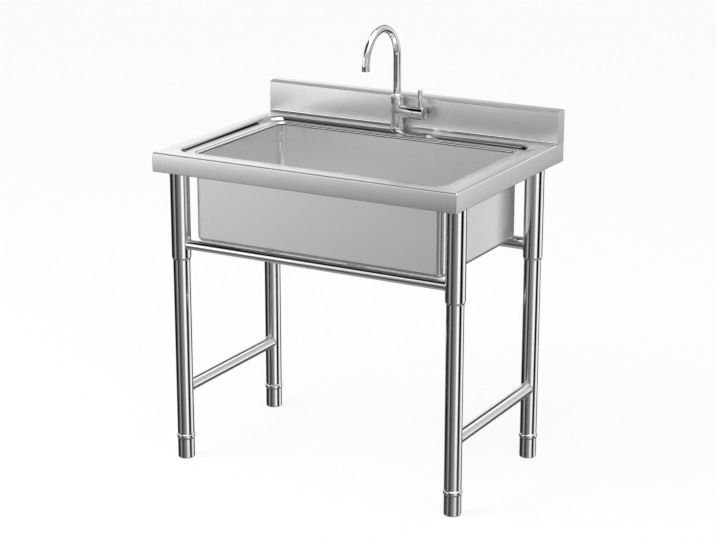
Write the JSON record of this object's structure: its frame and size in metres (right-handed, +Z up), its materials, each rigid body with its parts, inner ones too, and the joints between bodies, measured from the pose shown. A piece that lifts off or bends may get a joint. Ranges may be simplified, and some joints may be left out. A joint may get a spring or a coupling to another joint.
{
  "type": "utility laundry sink",
  "caption": "Free-standing stainless utility sink: raised-edge top with a deep rectangular bowl, splashback, gooseneck side-lever tap and round telescoped legs with screw feet.",
  "frame": {"origin": "on the floor, under the middle of the top's outline", "axes": "+X to the right, +Y to the back (splashback), +Z up"},
  "size_m": [0.82, 0.584, 1.0744],
  "materials": {
    "satin_steel": "satin brushed stainless sheet",
    "tube_steel": "polished stainless tube",
    "polished_steel": "polished stainless",
    "plain_steel": "plain zinc-plated steel",
    "chrome": "mirror chrome plating",
    "brass": "machined brass",
    "rubber": "moulded black rubber",
    "fibre": "fibre ring",
    "plastic": "white moulded plastic"
  },
  "bodies": {
    "sink": {"worktop": "satin_steel", "splashback": "satin_steel", "splashback_end_left": "satin_steel", "splashback_end_right": "satin_steel", "bowl": "satin_steel", "bowl_end_left": "satin_steel", "bowl_end_right": "satin_steel", "side_channel_left": "satin_steel", "side_channel_right": "satin_steel", "front_rail": "tube_steel", "rear_rail": "tube_steel", "side_stretcher_left": "tube_steel", "side_stretcher_right": "tube_steel", "leg_sleeve_front_left": "tube_steel", "lower_leg_front_left": "tube_steel", "foot_collar_front_left": "tube_steel", "leg_sleeve_front_right": "tube_steel", "lower_leg_front_right": "tube_steel", "foot_collar_front_right": "tube_steel", "leg_sleeve_rear_left": "tube_steel", "lower_leg_rear_left": "tube_steel", "foot_collar_rear_left": "tube_steel", "leg_sleeve_rear_right": "tube_steel", "lower_leg_rear_right": "tube_steel", "foot_collar_rear_right": "tube_steel", "strainer_body": "polished_steel", "drain_gasket": "rubber", "tap_base_seal": "rubber", "spout_seal": "rubber", "shank_rubber_washer": "rubber", "drain_friction_ring": "fibre", "drain_locknut": "plastic", "spout_bush": "plastic", "valve_cartridge": "plastic", "tap_flange": "chrome", "tap_body": "chrome", "cartridge_nut": "chrome", "tap_shank": "brass", "shank_nut": "brass", "shank_steel_washer": "plain_steel"},
    "handle_spindle": {"cartridge_spindle": "brass"},
    "handle": {"handle_cap": "chrome", "handle_lever": "chrome", "handle_grub_screw": "plain_steel"},
    "swivel_spout": {"spout": "chrome", "spout_ring": "chrome", "aerator": "chrome"},
    "basket": {"strainer_basket": "polished_steel", "basket_stopper": "rubber", "basket_knob": "polished_steel"},
    "foot_front_left": {"levelling_foot_front_left": "tube_steel"},
    "foot_front_right": {"levelling_foot_front_right": "tube_steel"},
    "foot_rear_left": {"levelling_foot_rear_left": "tube_steel"},
    "foot_rear_right": {"levelling_foot_rear_right": "tube_steel"}
  },
  "joints": [
    {"name": "spout_swivel", "type": "hinge", "parent": "sink", "child": "swivel_spout", "pos_m": [-0.02, 0.2275, 0.884], "axis": [0, 0, 1], "continuous": true},
    {"name": "temperature_turn", "type": "hinge", "parent": "sink", "child": "handle_spindle", "pos_m": [0.032, 0.2275, 0.845], "axis": [1, 0, 0], "range_deg": [-20, 70]},
    {"name": "flow_tilt", "type": "hinge", "parent": "handle_spindle", "child": "handle", "pos_m": [0.032, 0.2275, 0.845], "axis": [0, 1, 0], "range_deg": [0, 18]},
    {"name": "basket_lift", "type": "slide", "parent": "sink", "child": "basket", "axis": [0, 0, 1], "range_m": [0, 0.05]},
    {"name": "foot_screw_front_left", "type": "slide", "parent": "sink", "child": "foot_front_left", "axis": [0, 0, -1], "range_m": [0, 0.02]},
    {"name": "foot_screw_front_right", "type": "slide", "parent": "sink", "child": "foot_front_right", "axis": [0, 0, -1], "range_m": [0, 0.02]},
    {"name": "foot_screw_rear_left", "type": "slide", "parent": "sink", "child": "foot_rear_left", "axis": [0, 0, -1], "range_m": [0, 0.02]},
    {"name": "foot_screw_rear_right", "type": "slide", "parent": "sink", "child": "foot_rear_right", "axis": [0, 0, -1], "range_m": [0, 0.02]}
  ]
}
